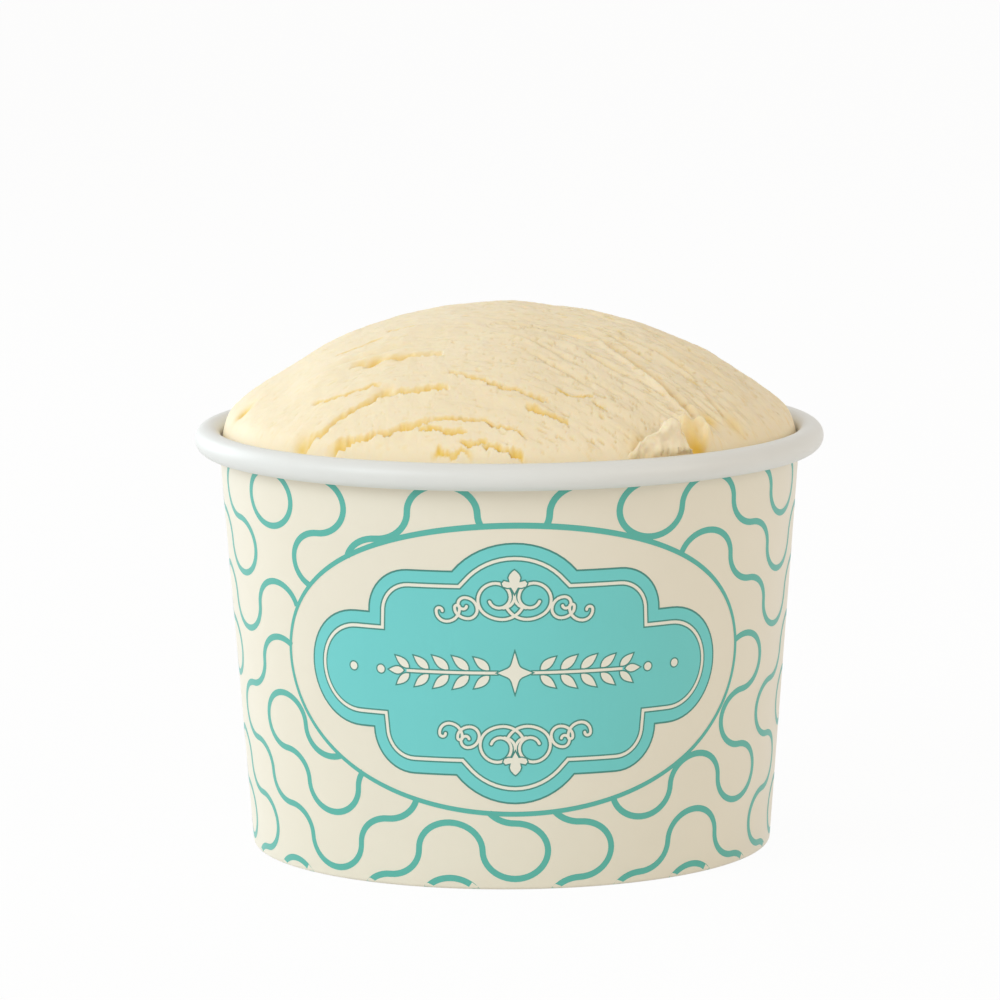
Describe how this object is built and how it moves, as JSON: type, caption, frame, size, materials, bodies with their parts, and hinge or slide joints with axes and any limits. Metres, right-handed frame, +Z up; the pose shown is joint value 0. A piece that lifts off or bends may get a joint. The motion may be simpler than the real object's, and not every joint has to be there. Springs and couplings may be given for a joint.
{
  "type": "paper ice cream tub",
  "caption": "Squat round paper tub with a rolled rim and a printed wall, filled with ice cream that mounds over the rim.",
  "frame": {"origin": "centre of the ring that the tub stands on", "axes": "+Z up, -Y towards the front with the printed panel, +X to the right as seen from the front"},
  "size_m": [0.097, 0.097, 0.0837],
  "materials": {
    "wall_board": "coated board, satin",
    "base_board": "coated board, plain white",
    "ice_cream": "matt, softly translucent"
  },
  "bodies": {
    "root": {"wall": "wall_board", "base": "base_board", "ice_cream": "ice_cream"}
  },
  "joints": []
}
